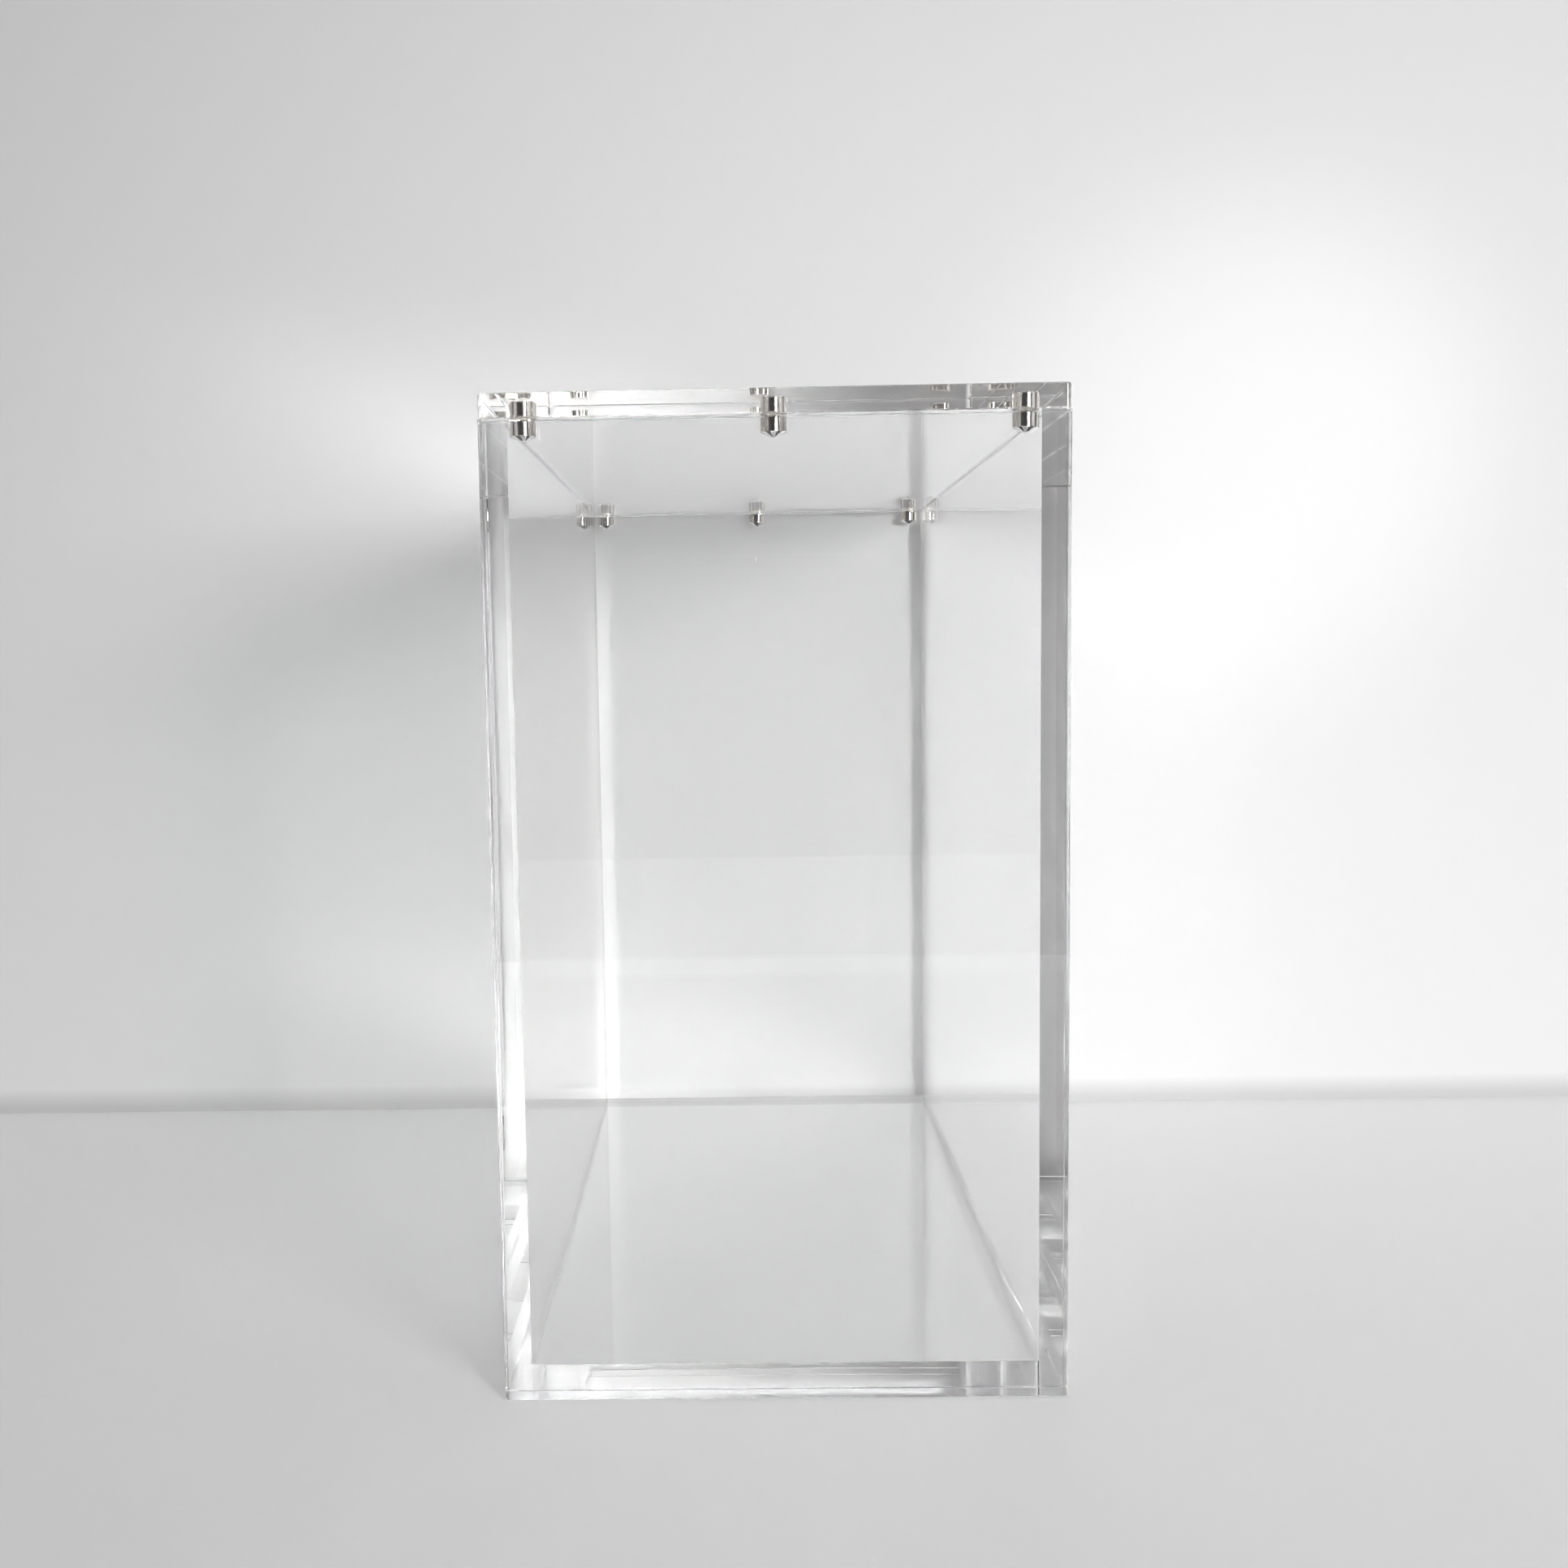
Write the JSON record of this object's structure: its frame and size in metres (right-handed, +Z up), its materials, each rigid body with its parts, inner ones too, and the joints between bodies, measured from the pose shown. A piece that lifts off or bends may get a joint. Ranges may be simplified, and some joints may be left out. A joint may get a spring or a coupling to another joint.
{
  "type": "display case",
  "caption": "Clear acrylic display case: a tall bonded box with a flat lift-off lid held by small disc magnets along its front and rear edges.",
  "frame": {"origin": "centre of the underside, at the middle of the case's width and depth", "axes": "+Z up, out through the lid; -Y towards the narrow front panel; X across the width"},
  "size_m": [0.092, 0.168, 0.1625],
  "materials": {
    "acrylic": "polished",
    "magnet": "polished"
  },
  "bodies": {
    "case": {"front_panel": "acrylic", "rear_panel": "acrylic", "left_panel": "acrylic", "right_panel": "acrylic", "base_panel": "acrylic", "case_magnet_front_left": "magnet", "case_magnet_front_centre": "magnet", "case_magnet_front_right": "magnet", "case_magnet_rear_left": "magnet", "case_magnet_rear_centre": "magnet", "case_magnet_rear_right": "magnet"},
    "lid": {"lid_panel": "acrylic", "lid_magnet_front_left": "magnet", "lid_magnet_front_centre": "magnet", "lid_magnet_front_right": "magnet", "lid_magnet_rear_left": "magnet", "lid_magnet_rear_centre": "magnet", "lid_magnet_rear_right": "magnet"}
  },
  "joints": [
    {"name": "lid_lift", "type": "slide", "parent": "case", "child": "lid", "axis": [0, 0, 1], "range_m": [0, 0.06]}
  ]
}
